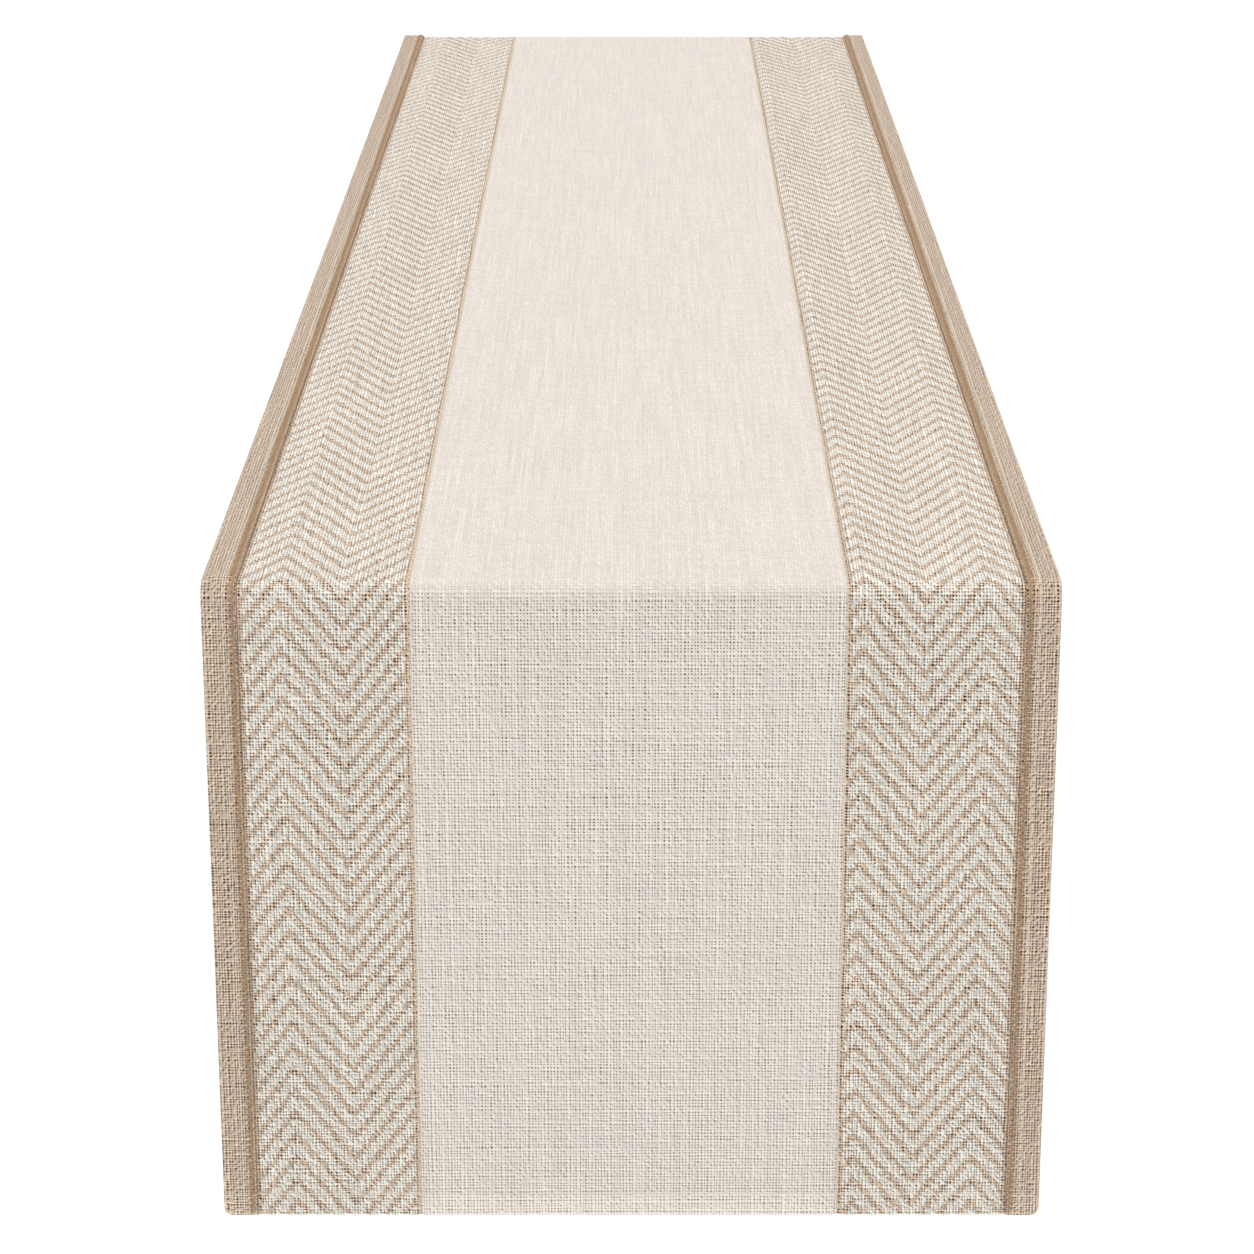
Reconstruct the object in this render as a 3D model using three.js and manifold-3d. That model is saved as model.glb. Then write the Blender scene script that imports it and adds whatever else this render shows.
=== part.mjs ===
// Table runner laid along a table, with a drop hanging over each end.
// Millimetres, +Z up. X runs across the runner, Y along it, and Z = 0 is the table top under the cloth.
import * as THREE from "three";
import { mergeVertices } from "three/addons/utils/BufferGeometryUtils.js";
import Module from "manifold-3d";

const wasm = await Module();
wasm.setup();

// Driving dimensions
const RUNNER_LENGTH = 1828.8; // finished length, measured along the cloth
const RUNNER_WIDTH = 355.6; // finished width, border edge to border edge
const DROP_HEIGHT = 292; // from the table top down to the lower edge of the hem
const CLOTH = 1; // thickness of one layer of the woven cloth
const BORDER_WIDTH = 14; // each side border, folded double
const BAND_WIDTH_LEFT = 70.3; // herringbone band beside the left border
const BAND_WIDTH_RIGHT = 72.6; // herringbone band beside the right border
const HEM_DEPTH = 10.8; // cloth turned up behind each drop
const EDGE_RADIUS = 6; // rounding of the table edge that the cloth bends over
const CORNER_RADIUS = 3; // rounded lower corners of each drop
const PLY_GAP = 0.3; // between two layers that touch
const THREAD = 0.5; // thickness of the sewing thread
const TOPSTITCH_INSET = 9; // topstitch on a border, from the runner's outer edge
const CLEARANCE = 0.3; // between neighbouring pieces

// Sizes worked out from them
const SEAM = THREAD + 2 * CLEARANCE; // slot between two strips, which the seam thread runs in
const BORDER_THICK = 2 * CLOTH + PLY_GAP;
const MID_RADIUS = EDGE_RADIUS + CLOTH / 2;
const STRAIGHT_DROP = DROP_HEIGHT - EDGE_RADIUS;
const FLAT_TOP = RUNNER_LENGTH - Math.PI * MID_RADIUS - 2 * STRAIGHT_DROP;
const BEND_Y = FLAT_TOP / 2; // where the flat top ends and each bend starts
const TABLE_END = BEND_Y + EDGE_RADIUS; // inner face of each drop
const HALF_BEND = Math.PI / 4; // the top and the drop meet halfway round the bend
const HALF_WIDTH = RUNNER_WIDTH / 2;

const COLOURS = { ivory: 0xded5cc, herringbone: 0xcdc0b3, tan: 0xbcab98, thread: 0xd8cfc2 };

function clothMaterial(colour) {
  return new THREE.MeshStandardMaterial({ color: colour, roughness: 0.9, metalness: 0 });
}

const MATERIALS = {
  ivory: clothMaterial(COLOURS.ivory),
  herringbone: clothMaterial(COLOURS.herringbone),
  tan: clothMaterial(COLOURS.tan),
  thread: clothMaterial(COLOURS.thread),
};

// A shape drawn in the length direction and in height, extruded across the runner from x0 to x1.
function extrudeAcross(outline, x0, x1) {
  const shape = new THREE.ExtrudeGeometry(outline, {
    depth: x1 - x0,
    bevelEnabled: false,
    curveSegments: 6,
  });
  // The outline's own x and y become Y and Z, and the extrusion runs along X.
  const turn = new THREE.Matrix4().makeBasis(
    new THREE.Vector3(0, 1, 0),
    new THREE.Vector3(0, 0, 1),
    new THREE.Vector3(1, 0, 0),
  );
  return shape.applyMatrix4(turn).translate(x0, 0, 0);
}

// Half of a bend is 45 degrees. A cut face stands this angle back from the middle of the bend.
function cutAngle(radius) {
  return CLEARANCE / 2 / radius;
}

// One ply of the flat top with half of each bend, between two offsets from the table's surface.
function topOutline(inner, outer) {
  const r0 = EDGE_RADIUS + inner;
  const r1 = EDGE_RADIUS + outer;
  const up = Math.PI / 2;
  const outline = new THREE.Shape();
  outline.absarc(BEND_Y, -EDGE_RADIUS, r0, up - HALF_BEND + cutAngle(r0), up, false);
  outline.absarc(-BEND_Y, -EDGE_RADIUS, r0, up, up + HALF_BEND - cutAngle(r0), false);
  outline.absarc(-BEND_Y, -EDGE_RADIUS, r1, up + HALF_BEND - cutAngle(r1), up, true);
  outline.absarc(BEND_Y, -EDGE_RADIUS, r1, up, up - HALF_BEND + cutAngle(r1), true);
  outline.closePath();
  return outline;
}

// One ply of the rear drop: the lower half of the bend, then straight down to a height.
function dropOutline(inner, outer, bottom) {
  const r0 = EDGE_RADIUS + inner;
  const r1 = EDGE_RADIUS + outer;
  const outline = new THREE.Shape();
  outline.moveTo(BEND_Y + r0, bottom);
  outline.lineTo(BEND_Y + r1, bottom);
  outline.absarc(BEND_Y, -EDGE_RADIUS, r1, 0, HALF_BEND - cutAngle(r1), false);
  outline.absarc(BEND_Y, -EDGE_RADIUS, r0, HALF_BEND - cutAngle(r0), 0, true);
  outline.closePath();
  return outline;
}

// A rectangle in the length direction and in height.
function rectangle(y0, y1, z0, z1) {
  const outline = new THREE.Shape();
  outline.moveTo(y0, z0);
  outline.lineTo(y1, z0);
  outline.lineTo(y1, z1);
  outline.lineTo(y0, z1);
  outline.closePath();
  return outline;
}

function toSolid(geometry) {
  const bare = new THREE.BufferGeometry();
  const loose = geometry.index ? geometry.toNonIndexed() : geometry;
  bare.setAttribute("position", loose.getAttribute("position"));
  const merged = mergeVertices(bare, 1e-4);
  return new wasm.Manifold(
    new wasm.Mesh({
      numProp: 3,
      vertProperties: merged.attributes.position.array,
      triVerts: new Uint32Array(merged.index.array),
    }),
  );
}

function toGeometry(solid) {
  const mesh = solid.getMesh();
  const geometry = new THREE.BufferGeometry();
  geometry.setAttribute("position", new THREE.BufferAttribute(mesh.vertProperties, 3));
  geometry.setIndex(new THREE.BufferAttribute(mesh.triVerts, 1));
  geometry.computeVertexNormals();
  return geometry;
}

function joined(geometries) {
  const solids = geometries.map(toSolid);
  return toGeometry(solids.reduce((whole, next) => whole.add(next)));
}

const HEM_FACE = TABLE_END - PLY_GAP - CLOTH; // inner face of the turned-up hem
const HEM_TOP = -DROP_HEIGHT + HEM_DEPTH;

// The turned-up hem behind a rear drop, with the fold that joins it to the cloth along the bottom.
function hemOutlines(outerFace) {
  return [
    rectangle(HEM_FACE, HEM_FACE + CLOTH, -DROP_HEIGHT, HEM_TOP),
    rectangle(HEM_FACE, outerFace, -DROP_HEIGHT, -DROP_HEIGHT + CLOTH),
  ];
}

// A single-ply strip: the centre panel or a herringbone band.
function stripTop(x0, x1) {
  return extrudeAcross(topOutline(0, CLOTH), x0, x1);
}

function stripDrop(x0, x1) {
  const outlines = [dropOutline(0, CLOTH, -DROP_HEIGHT), ...hemOutlines(TABLE_END + CLOTH)];
  return joined(outlines.map((outline) => extrudeAcross(outline, x0, x1)));
}

// A border strip is folded double: a face ply, a back ply, and the fold along the outer edge.
// side is -1 for the left border and 1 for the right one.
function borderSpan(side) {
  const edge = side * HALF_WIDTH;
  const inner = edge - side * BORDER_WIDTH;
  const fold = edge - side * CLOTH;
  return {
    strip: [Math.min(edge, inner), Math.max(edge, inner)],
    fold: [Math.min(edge, fold), Math.max(edge, fold)],
  };
}

function borderTop(side) {
  const { strip, fold } = borderSpan(side);
  return joined([
    extrudeAcross(topOutline(0, CLOTH), ...strip),
    extrudeAcross(topOutline(CLOTH + PLY_GAP, BORDER_THICK), ...strip),
    extrudeAcross(topOutline(0, BORDER_THICK), ...fold),
  ]);
}

// What a rounded lower corner leaves out of a drop: a square less its quarter round.
function cornerCutter(side) {
  const edge = side * HALF_WIDTH;
  const reach = CORNER_RADIUS + CLEARANCE;
  const centreX = edge - side * CORNER_RADIUS;
  const centreZ = -DROP_HEIGHT + CORNER_RADIUS;
  const outline = new THREE.Shape();
  outline.moveTo(centreX, -DROP_HEIGHT);
  outline.lineTo(centreX, centreZ - reach);
  outline.lineTo(centreX + side * reach, centreZ - reach);
  outline.lineTo(centreX + side * reach, centreZ);
  outline.lineTo(edge, centreZ);
  outline.absarc(centreX, centreZ, CORNER_RADIUS, side > 0 ? 0 : Math.PI, -Math.PI / 2, side > 0);
  const length = 6 * BORDER_THICK;
  const geometry = new THREE.ExtrudeGeometry(outline, { depth: length, bevelEnabled: false });
  // The outline's own x and y become X and Z, and the extrusion runs along Y through the drop.
  geometry.rotateX(Math.PI / 2).translate(0, TABLE_END + length / 2, 0);
  return geometry;
}

function borderDrop(side) {
  const { strip, fold } = borderSpan(side);
  const outlines = [
    dropOutline(0, CLOTH, -DROP_HEIGHT),
    dropOutline(CLOTH + PLY_GAP, BORDER_THICK, -DROP_HEIGHT),
    ...hemOutlines(TABLE_END + BORDER_THICK),
  ];
  const plies = outlines.map((outline) => extrudeAcross(outline, ...strip));
  const edgeFold = extrudeAcross(dropOutline(0, BORDER_THICK, -DROP_HEIGHT), ...fold);
  const whole = toSolid(joined([...plies, edgeFold]));
  return toGeometry(whole.subtract(toSolid(cornerCutter(side))));
}

// A seam thread lies in the slot between two strips, level with the middle of the cloth.
const SEAM_THREAD_LOW = (CLOTH - THREAD) / 2;
const SEAM_THREAD_HIGH = SEAM_THREAD_LOW + THREAD;

function seamThreadTop(x) {
  return extrudeAcross(topOutline(SEAM_THREAD_LOW, SEAM_THREAD_HIGH), x - THREAD / 2, x + THREAD / 2);
}

function seamThreadDrop(x) {
  const bottom = -DROP_HEIGHT + HEM_DEPTH + CLEARANCE + THREAD;
  const outline = dropOutline(SEAM_THREAD_LOW, SEAM_THREAD_HIGH, bottom);
  return extrudeAcross(outline, x - THREAD / 2, x + THREAD / 2);
}

// A topstitch lies on a border's face and stops at the bend, so that the drop can lift.
const STITCH_LOW = BORDER_THICK + CLEARANCE;

function topstitchTop(x) {
  const outline = rectangle(-BEND_Y, BEND_Y, STITCH_LOW, STITCH_LOW + THREAD);
  return extrudeAcross(outline, x - THREAD / 2, x + THREAD / 2);
}

function topstitchDrop(x) {
  const face = TABLE_END + STITCH_LOW;
  const bottom = -DROP_HEIGHT + HEM_DEPTH + CLEARANCE + THREAD;
  const outline = rectangle(face, face + THREAD, bottom, -EDGE_RADIUS);
  return extrudeAcross(outline, x - THREAD / 2, x + THREAD / 2);
}

// Places across the runner
const leftBorderEdge = -HALF_WIDTH + BORDER_WIDTH;
const leftBandEdge = leftBorderEdge + SEAM + BAND_WIDTH_LEFT;
const rightBorderEdge = HALF_WIDTH - BORDER_WIDTH;
const rightBandEdge = rightBorderEdge - SEAM - BAND_WIDTH_RIGHT;

// The hem stitch runs across the whole drop at the top of the hem, over the borders' thicker edges.
function hemStitch() {
  const low = TABLE_END + CLOTH + CLEARANCE;
  const high = TABLE_END + STITCH_LOW;
  const end = HALF_WIDTH - CLOTH;
  const stepLeft = leftBorderEdge + CLEARANCE;
  const stepRight = rightBorderEdge - CLEARANCE;
  const outline = new THREE.Shape();
  outline.moveTo(-end, high);
  outline.lineTo(stepLeft, high);
  outline.lineTo(stepLeft, low);
  outline.lineTo(stepRight, low);
  outline.lineTo(stepRight, high);
  outline.lineTo(end, high);
  outline.lineTo(end, high + THREAD);
  outline.lineTo(stepRight - THREAD, high + THREAD);
  outline.lineTo(stepRight - THREAD, low + THREAD);
  outline.lineTo(stepLeft + THREAD, low + THREAD);
  outline.lineTo(stepLeft + THREAD, high + THREAD);
  outline.lineTo(-end, high + THREAD);
  outline.closePath();
  const geometry = new THREE.ExtrudeGeometry(outline, { depth: THREAD, bevelEnabled: false });
  return geometry.translate(0, 0, HEM_TOP);
}

// Every strip and thread that runs the length of the runner, with its share on the top and on a drop.
const lengthwise = [
  { name: "border_left", colour: "tan", top: () => borderTop(-1), drop: () => borderDrop(-1) },
  { name: "border_right", colour: "tan", top: () => borderTop(1), drop: () => borderDrop(1) },
];

const strips = [
  { name: "herringbone_band_left", colour: "herringbone", x0: leftBorderEdge + SEAM, x1: leftBandEdge },
  { name: "centre_panel", colour: "ivory", x0: leftBandEdge + SEAM, x1: rightBandEdge - SEAM },
  { name: "herringbone_band_right", colour: "herringbone", x0: rightBandEdge, x1: rightBorderEdge - SEAM },
];
for (const { name, colour, x0, x1 } of strips) {
  lengthwise.push({ name, colour, top: () => stripTop(x0, x1), drop: () => stripDrop(x0, x1) });
}

const seamThreads = [
  { name: "border_seam_thread_left", x: leftBorderEdge + SEAM / 2 },
  { name: "centre_seam_thread_left", x: leftBandEdge + SEAM / 2 },
  { name: "centre_seam_thread_right", x: rightBandEdge - SEAM / 2 },
  { name: "border_seam_thread_right", x: rightBorderEdge - SEAM / 2 },
];
for (const { name, x } of seamThreads) {
  lengthwise.push({ name, colour: "thread", top: () => seamThreadTop(x), drop: () => seamThreadDrop(x) });
}

const topstitches = [
  { name: "topstitch_left", x: -HALF_WIDTH + TOPSTITCH_INSET },
  { name: "topstitch_right", x: HALF_WIDTH - TOPSTITCH_INSET },
];
for (const { name, x } of topstitches) {
  lengthwise.push({ name, colour: "thread", top: () => topstitchTop(x), drop: () => topstitchDrop(x) });
}

function piece(name, geometry, colour) {
  const mesh = new THREE.Mesh(geometry, MATERIALS[colour]);
  mesh.name = name;
  return mesh;
}

const runner = new THREE.Group();
const topStretch = new THREE.Group();
const frontDrop = new THREE.Group();
const rearDrop = new THREE.Group();
runner.add(topStretch, frontDrop, rearDrop);
frontDrop.scale.y = -1; // the front drop is the rear drop mirrored along the length

for (const { name, colour, top, drop } of lengthwise) {
  topStretch.add(piece(`${name}_top`, top(), colour));
  rearDrop.add(piece(`${name}_rear_drop`, drop(), colour));
  frontDrop.add(piece(`${name}_front_drop`, drop(), colour));
}
rearDrop.add(piece("hem_stitch_rear_drop", hemStitch(), "thread"));
frontDrop.add(piece("hem_stitch_front_drop", hemStitch(), "thread"));

export default runner;
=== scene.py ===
# %% [markdown]
# # A woven table runner
# A table runner is a long, narrow cloth that lies along a table and hangs over both ends. This one is
# sewn from five strips: a plain ivory centre, a herringbone band on each side of it, and a tan border
# folded double along each edge. The frame holds the measured strips and the hinges at the table's
# edges, so every size below is read from it. The cloth itself is made here.

# %% Load the frame
import math

import bmesh
import bpy
from mathutils import Matrix, Vector, noise


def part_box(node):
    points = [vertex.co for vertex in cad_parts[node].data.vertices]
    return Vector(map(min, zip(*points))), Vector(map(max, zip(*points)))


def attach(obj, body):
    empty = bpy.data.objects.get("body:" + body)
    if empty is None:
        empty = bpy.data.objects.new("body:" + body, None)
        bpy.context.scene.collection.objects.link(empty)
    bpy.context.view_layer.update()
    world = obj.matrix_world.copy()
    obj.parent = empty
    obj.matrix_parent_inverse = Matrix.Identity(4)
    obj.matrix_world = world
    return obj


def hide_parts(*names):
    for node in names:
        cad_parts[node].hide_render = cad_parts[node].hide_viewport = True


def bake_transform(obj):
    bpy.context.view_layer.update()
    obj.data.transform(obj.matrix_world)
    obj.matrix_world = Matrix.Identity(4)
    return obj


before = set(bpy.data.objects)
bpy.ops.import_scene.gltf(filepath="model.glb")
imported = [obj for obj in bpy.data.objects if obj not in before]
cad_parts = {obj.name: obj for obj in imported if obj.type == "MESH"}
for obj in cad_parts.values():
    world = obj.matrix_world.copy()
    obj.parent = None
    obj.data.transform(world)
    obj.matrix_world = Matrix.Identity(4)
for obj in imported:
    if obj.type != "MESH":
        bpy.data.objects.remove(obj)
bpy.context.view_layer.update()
scene = bpy.context.scene

# %% [markdown]
# The cloth is cut flat, so it is easiest to think of it flat. A point has three numbers: u across the
# runner, s along it from the middle towards a hem, and h, its height over the face that lies on the
# table. Four sizes from the frame say how such a point ends up on the table: where the bend starts,
# the bend's radius, the drop's height and the thickness of one ply.

# %% Sizes of the cloth
MM = 0.001
ENDS = {-1: "front", 1: "rear"}
STRIPS = ["border_left", "herringbone_band_left", "centre_panel", "herringbone_band_right", "border_right"]
bands = [name for name in STRIPS if name.startswith("herringbone")]

drop_low, drop_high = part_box("centre_panel_rear_drop")
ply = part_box("centre_panel_top")[1].z
bend_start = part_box("topstitch_left_top")[1].y
bend_radius = drop_high.y - ply - bend_start
drop_height = -drop_low.z
hem_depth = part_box("hem_stitch_rear_drop")[0].z + drop_height
half_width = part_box("border_right_top")[1].x
border_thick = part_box("border_right_rear_drop")[1].y - drop_high.y + ply
ply_gap = border_thick - 2 * ply
bend_length = math.pi / 2 * (bend_radius + ply / 2)
bend_end = bend_start + bend_length
drop_end = bend_end + drop_height - bend_radius
spans = {name: [corner.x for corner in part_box(name + "_top")] for name in STRIPS}
SEAM_TOUCH = 0.5 * MM  # the strips meet in the middle of the slot that the frame leaves between them
print(f"flat to {bend_start:.4f} m, bend radius {bend_radius / MM:.1f} mm, drop {drop_height:.3f} m")

# %% [markdown]
# A real runner bends over the rounded table edge, hangs straight, and turns up behind itself as a hem.
# One function follows that path. It turns a flat point (s, h) into a place along and above the table,
# and every strip, stitch and seam goes through it, so they all bend together like one sewn cloth.

# %% The path of the cloth
def hem_fold(thick):
    """Outer radius of the hem's turn, and the distances along the cloth where it starts and ends."""
    fold_outer = thick + ply_gap / 2
    fold_start = drop_end - fold_outer
    return fold_outer, fold_start, fold_start + math.pi * fold_outer


def hem_end(thick):
    """Distance along the cloth from the middle of the table to the cut edge inside the hem."""
    fold_outer, _, fold_end = hem_fold(thick)
    return fold_end + hem_depth - fold_outer


def drape(s, h, thick):
    """Place of a flat point: distance from the middle of the table, and height over the table."""
    if s <= bend_start:
        return s, h
    if s <= bend_end:
        turn = (s - bend_start) / (bend_radius + ply / 2)
        reach = bend_radius + h
        return bend_start + reach * math.sin(turn), -bend_radius + reach * math.cos(turn)
    fold_outer, fold_start, fold_end = hem_fold(thick)
    if s <= fold_start:
        return bend_start + bend_radius + h, -bend_radius - (s - bend_end)
    fold_y = bend_start + bend_radius - ply_gap / 2
    fold_z = -drop_height + fold_outer
    reach = h + ply_gap / 2
    if s <= fold_end:
        turn = (s - fold_start) / fold_outer
        return fold_y + reach * math.cos(turn), fold_z - reach * math.sin(turn)
    return fold_y - reach, fold_z + (s - fold_end)


print(f"half of the cut cloth is {hem_end(ply):.4f} m long")

# %% [markdown]
# Bending wants short steps and flat cloth can take long ones. So the rows of the mesh are spread by
# stretch: coarse on the table, fine round the bend and round the turn of the hem. The columns crowd
# towards both edges, where the cloth rolls down into its seams.

# %% Rows and columns of the cloth mesh
PANEL_STEP = 3 * MM  # the centre panel's longest step
BEND_STEP = 0.8 * MM
FOLD_STEP = 0.45 * MM
SEAM_COLUMNS = [0.0, 0.25 * MM, 0.6 * MM, 1.1 * MM, 1.8 * MM]  # distances from a seam


def spread(start, end, step):
    """Places from start up to, but not with, end, a step or a little less apart."""
    count = max(1, math.ceil((end - start) / step))
    return [start + (end - start) * i / count for i in range(count)]


def rows_of(step, thick):
    _, fold_start, fold_end = hem_fold(thick)
    rows = spread(0, bend_start, step) + spread(bend_start, bend_end, BEND_STEP)
    rows += spread(bend_end, fold_start, step) + spread(fold_start, fold_end, FOLD_STEP)
    return rows + spread(fold_end, hem_end(thick), step) + [hem_end(thick)]


def columns_of(start, end, step):
    left = [start + x for x in SEAM_COLUMNS]
    right = [end - x for x in reversed(SEAM_COLUMNS)]
    return left + spread(left[-1], right[0], step)[1:] + right


print(f"half of the centre panel has {len(rows_of(PANEL_STEP, ply))} rows")

# %% [markdown]
# A sheet of cloth starts as a flat grid. Its vertices are moved to the columns and rows, and then it is
# raised by one ply, which makes it a closed slab. Hanging it is a step of its own. A cloth simulation
# could hang it too, but it would add ripples, and a cloth that lies flat and hangs straight has none.
#
# The weave needs a map that stays flat however the cloth hangs. Each corner keeps its flat place, in
# millimetres, in a UV map. Patterns drawn on that map run over the bend without a break, as threads do.

# %% From a flat sheet to a hanging one
UV = "cloth_mm"
SHARP_EDGE = math.radians(50)  # cut edges stay crisp, and folds stay smooth


def slab(columns, rows, thick):
    """A flat closed sheet with the given columns and rows: x is u, y is s and z is h."""
    bm = bmesh.new()
    across, along = len(columns) - 1, len(rows) - 1
    bmesh.ops.create_grid(bm, x_segments=across, y_segments=along, size=0.5)
    for vert in bm.verts:
        vert.co.x = columns[round((vert.co.x + 0.5) * across)]
        vert.co.y = rows[round((vert.co.y + 0.5) * along)]
    made = bmesh.ops.extrude_face_region(bm, geom=bm.faces[:])
    raised = [item for item in made["geom"] if isinstance(item, bmesh.types.BMVert)]
    bmesh.ops.translate(bm, verts=raised, vec=(0, 0, thick))
    return bm


def mark_flat_places(bm, end, start=0.0, side=1):
    """Keeps each corner's flat place. start and side turn a border's own columns into places across."""
    layer = bm.loops.layers.uv.new(UV)
    for face in bm.faces:
        for loop in face.loops:
            loop[layer].uv = ((start + side * loop.vert.co.x) / MM, end * loop.vert.co.y / MM)


def hang(bm, end, thick, shape=None):
    """Lays a flat bmesh over one end of the table. end is -1 for the front and 1 for the rear."""
    for vert in bm.verts:
        u, s, h = vert.co
        if shape:
            u, h = shape(u, s, h)
        y, z = drape(s, h, thick)
        vert.co = (u, end * y, z)


def finish_piece(name, bm, material):
    bmesh.ops.recalc_face_normals(bm, faces=bm.faces[:])
    mesh = bpy.data.meshes.new(name)
    bm.to_mesh(mesh)
    bm.free()
    mesh.shade_smooth()
    mesh.set_sharp_from_angle(angle=SHARP_EDGE)
    mesh.materials.append(material)
    piece = bpy.data.objects.new(name, mesh)
    scene.collection.objects.link(piece)
    print(name, len(mesh.polygons), "faces")
    return piece


# %% [markdown]
# ## Materials
# Cloth is threads, so the shader draws threads. One small function adds a node with its settings and
# links, and another turns the hex colours that a dyer would name into the linear values that light
# needs. Cotton is matt: it scatters light from its fibres, so it gets a high roughness, little specular
# light and a touch of sheen.

# %% Helpers for materials
def linear(hex_colour):
    """An sRGB hex colour such as "bcab98" as linear red, green, blue and alpha."""
    parts = [int(hex_colour[i : i + 2], 16) / 255 for i in (0, 2, 4)]
    return (*(x / 12.92 if x <= 0.04045 else ((x + 0.055) / 1.055) ** 2.4 for x in parts), 1.0)


def add(tree, kind, settings, inputs):
    """Adds one shader node. inputs are values or sockets, by place or by name. Returns its outputs."""
    node = tree.nodes.new("ShaderNode" + kind)
    for name, value in settings.items():
        setattr(node, name, value)
    for key, value in inputs.items() if isinstance(inputs, dict) else enumerate(inputs):
        if isinstance(value, bpy.types.NodeSocket):
            tree.links.new(value, node.inputs[key])
        else:
            node.inputs[key].default_value = value
    return node.outputs


def new_material(name):
    material = bpy.data.materials.new(name)
    material.use_nodes = True
    material.node_tree.nodes.clear()
    print("material:", name)
    return material, material.node_tree


COTTON_ROUGHNESS = 0.92
COTTON_SHEEN = 0.1


def close_material(tree, colour, height, bump_depth, roughness=COTTON_ROUGHNESS, sheen=COTTON_SHEEN):
    """Joins a pattern's colour and height to a matt cloth shader."""
    bump = add(tree, "Bump", {}, {"Height": height, "Distance": bump_depth, "Strength": 0.8})["Normal"]
    shader = add(tree, "BsdfPrincipled", {}, {
        "Base Color": colour,
        "Roughness": roughness,
        "Sheen Weight": sheen,
        "Sheen Roughness": 0.5,
        "Specular IOR Level": 0.25,
        "Normal": bump,
    })["BSDF"]
    add(tree, "OutputMaterial", {}, {"Surface": shader})


# %% [markdown]
# All of these cloths start from one grid of threads. Hand-spun-looking yarn is never evenly spaced, so
# two stretched noises push the threads a little apart and together. Dividing by the pitch then gives
# every point a thread number each way, and a sine of it gives the round crest of each thread.

# %% The grid of threads
UNEVEN = 1.6  # mm that a thread may stand out of its place
DRIFT_ACROSS = 0.30  # how fast that push changes from thread to thread, for each mm
DRIFT_ALONG = 0.01  # and along a thread


def thread_grid(tree, warp_pitch, weft_pitch):
    """The flat place in mm and the number of threads counted to it, across and along."""
    place = add(tree, "UVMap", {"uv_map": UV}, {})["UV"]
    pushes = []
    for stretch in ((DRIFT_ACROSS, DRIFT_ALONG, 0), (DRIFT_ALONG, DRIFT_ACROSS, 0)):
        key = add(tree, "VectorMath", {"operation": "MULTIPLY"}, [place, stretch])[0]
        drift = add(tree, "TexNoise", {"noise_dimensions": "2D"}, {"Vector": key, "Scale": 1.0})
        pushes.append(drift["Fac"])
    push = add(tree, "CombineXYZ", {}, pushes)[0]
    uneven = add(tree, "VectorMath", {"operation": "MULTIPLY_ADD"}, [push, (UNEVEN, UNEVEN, 0), place])[0]
    return place, add(tree, "VectorMath", {"operation": "DIVIDE"}, [uneven, (warp_pitch, weft_pitch, 1)])[0]


def thread_crests(tree, cells):
    """How near the middle of a lengthwise and of a crosswise thread a point is, each from 0 to 1."""
    turns = add(tree, "VectorMath", {"operation": "SCALE"}, {"Vector": cells, "Scale": math.pi})[0]
    waves = add(tree, "VectorMath", {"operation": "SINE"}, [turns])[0]
    crests = add(tree, "VectorMath", {"operation": "ABSOLUTE"}, [waves])[0]
    return add(tree, "SeparateXYZ", {}, [crests])


# %% [markdown]
# Yarn takes dye unevenly. Each thread has a shade of its own, which drifts slowly along it: that gives
# the slubby streaks. Each crossing differs a little from the next too, by chance. Both are drawn by
# scaling the cloth's colour, because real yarn gets lighter and darker but keeps its hue.

# %% Shades of the yarn
OWN_SHADE = 1.37  # a step through the noise that gives neighbouring threads unlike shades
LENGTHWISE_DRIFT = 0.014  # how fast a lengthwise thread's shade changes, for each mm along it
CROSSWISE_DRIFT = 0.04  # and a crosswise thread's
CROSSWISE = 0.6  # how much the crosswise threads differ, next to the lengthwise ones
NOISE_LOW, NOISE_HIGH = 0.3, 0.7  # nearly all of a noise's values lie between these


def thread_shades(tree, place, cells):
    """Two shades near 0.5: one for each lengthwise thread, and one for each crosswise thread."""
    number = add(tree, "VectorMath", {"operation": "FLOOR"}, [cells])[0]
    shades = []
    lengthwise = (OWN_SHADE, 0, 0), (0, LENGTHWISE_DRIFT, 0)
    crosswise = (0, OWN_SHADE, 0), (CROSSWISE_DRIFT, 0, 0)
    for own, run in (lengthwise, crosswise):
        own_part = add(tree, "VectorMath", {"operation": "MULTIPLY"}, [number, own])[0]
        key = add(tree, "VectorMath", {"operation": "MULTIPLY_ADD"}, [place, run, own_part])[0]
        streak = add(tree, "TexNoise", {"noise_dimensions": "2D"}, {"Vector": key, "Scale": 1.0})
        shades.append(streak["Fac"])
    return shades


def streaked(tree, colour, place, cells, amount):
    """Makes each thread lighter or darker by its own shade."""
    for shade, share in zip(thread_shades(tree, place, cells), (1.0, CROSSWISE)):
        scale = add(tree, "MapRange", {"clamp": False}, {
            "Value": shade, "From Min": NOISE_LOW, "From Max": NOISE_HIGH,
            "To Min": 1 - share * amount, "To Max": 1 + share * amount,
        })[0]
        colour = add(tree, "VectorMath", {"operation": "SCALE"}, {"Vector": colour, "Scale": scale})[0]
    return colour


def speckle(tree, cells, colour, amount):
    """Makes each crossing of two threads a little lighter or darker than the next, by chance."""
    number = add(tree, "VectorMath", {"operation": "FLOOR"}, [cells])[0]
    chance = add(tree, "TexWhiteNoise", {"noise_dimensions": "2D"}, {"Vector": number})["Value"]
    scale = add(tree, "MapRange", {}, {"Value": chance, "To Min": 1 - amount, "To Max": 1 + amount})[0]
    return add(tree, "VectorMath", {"operation": "SCALE"}, {"Vector": colour, "Scale": scale})[0]


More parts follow.
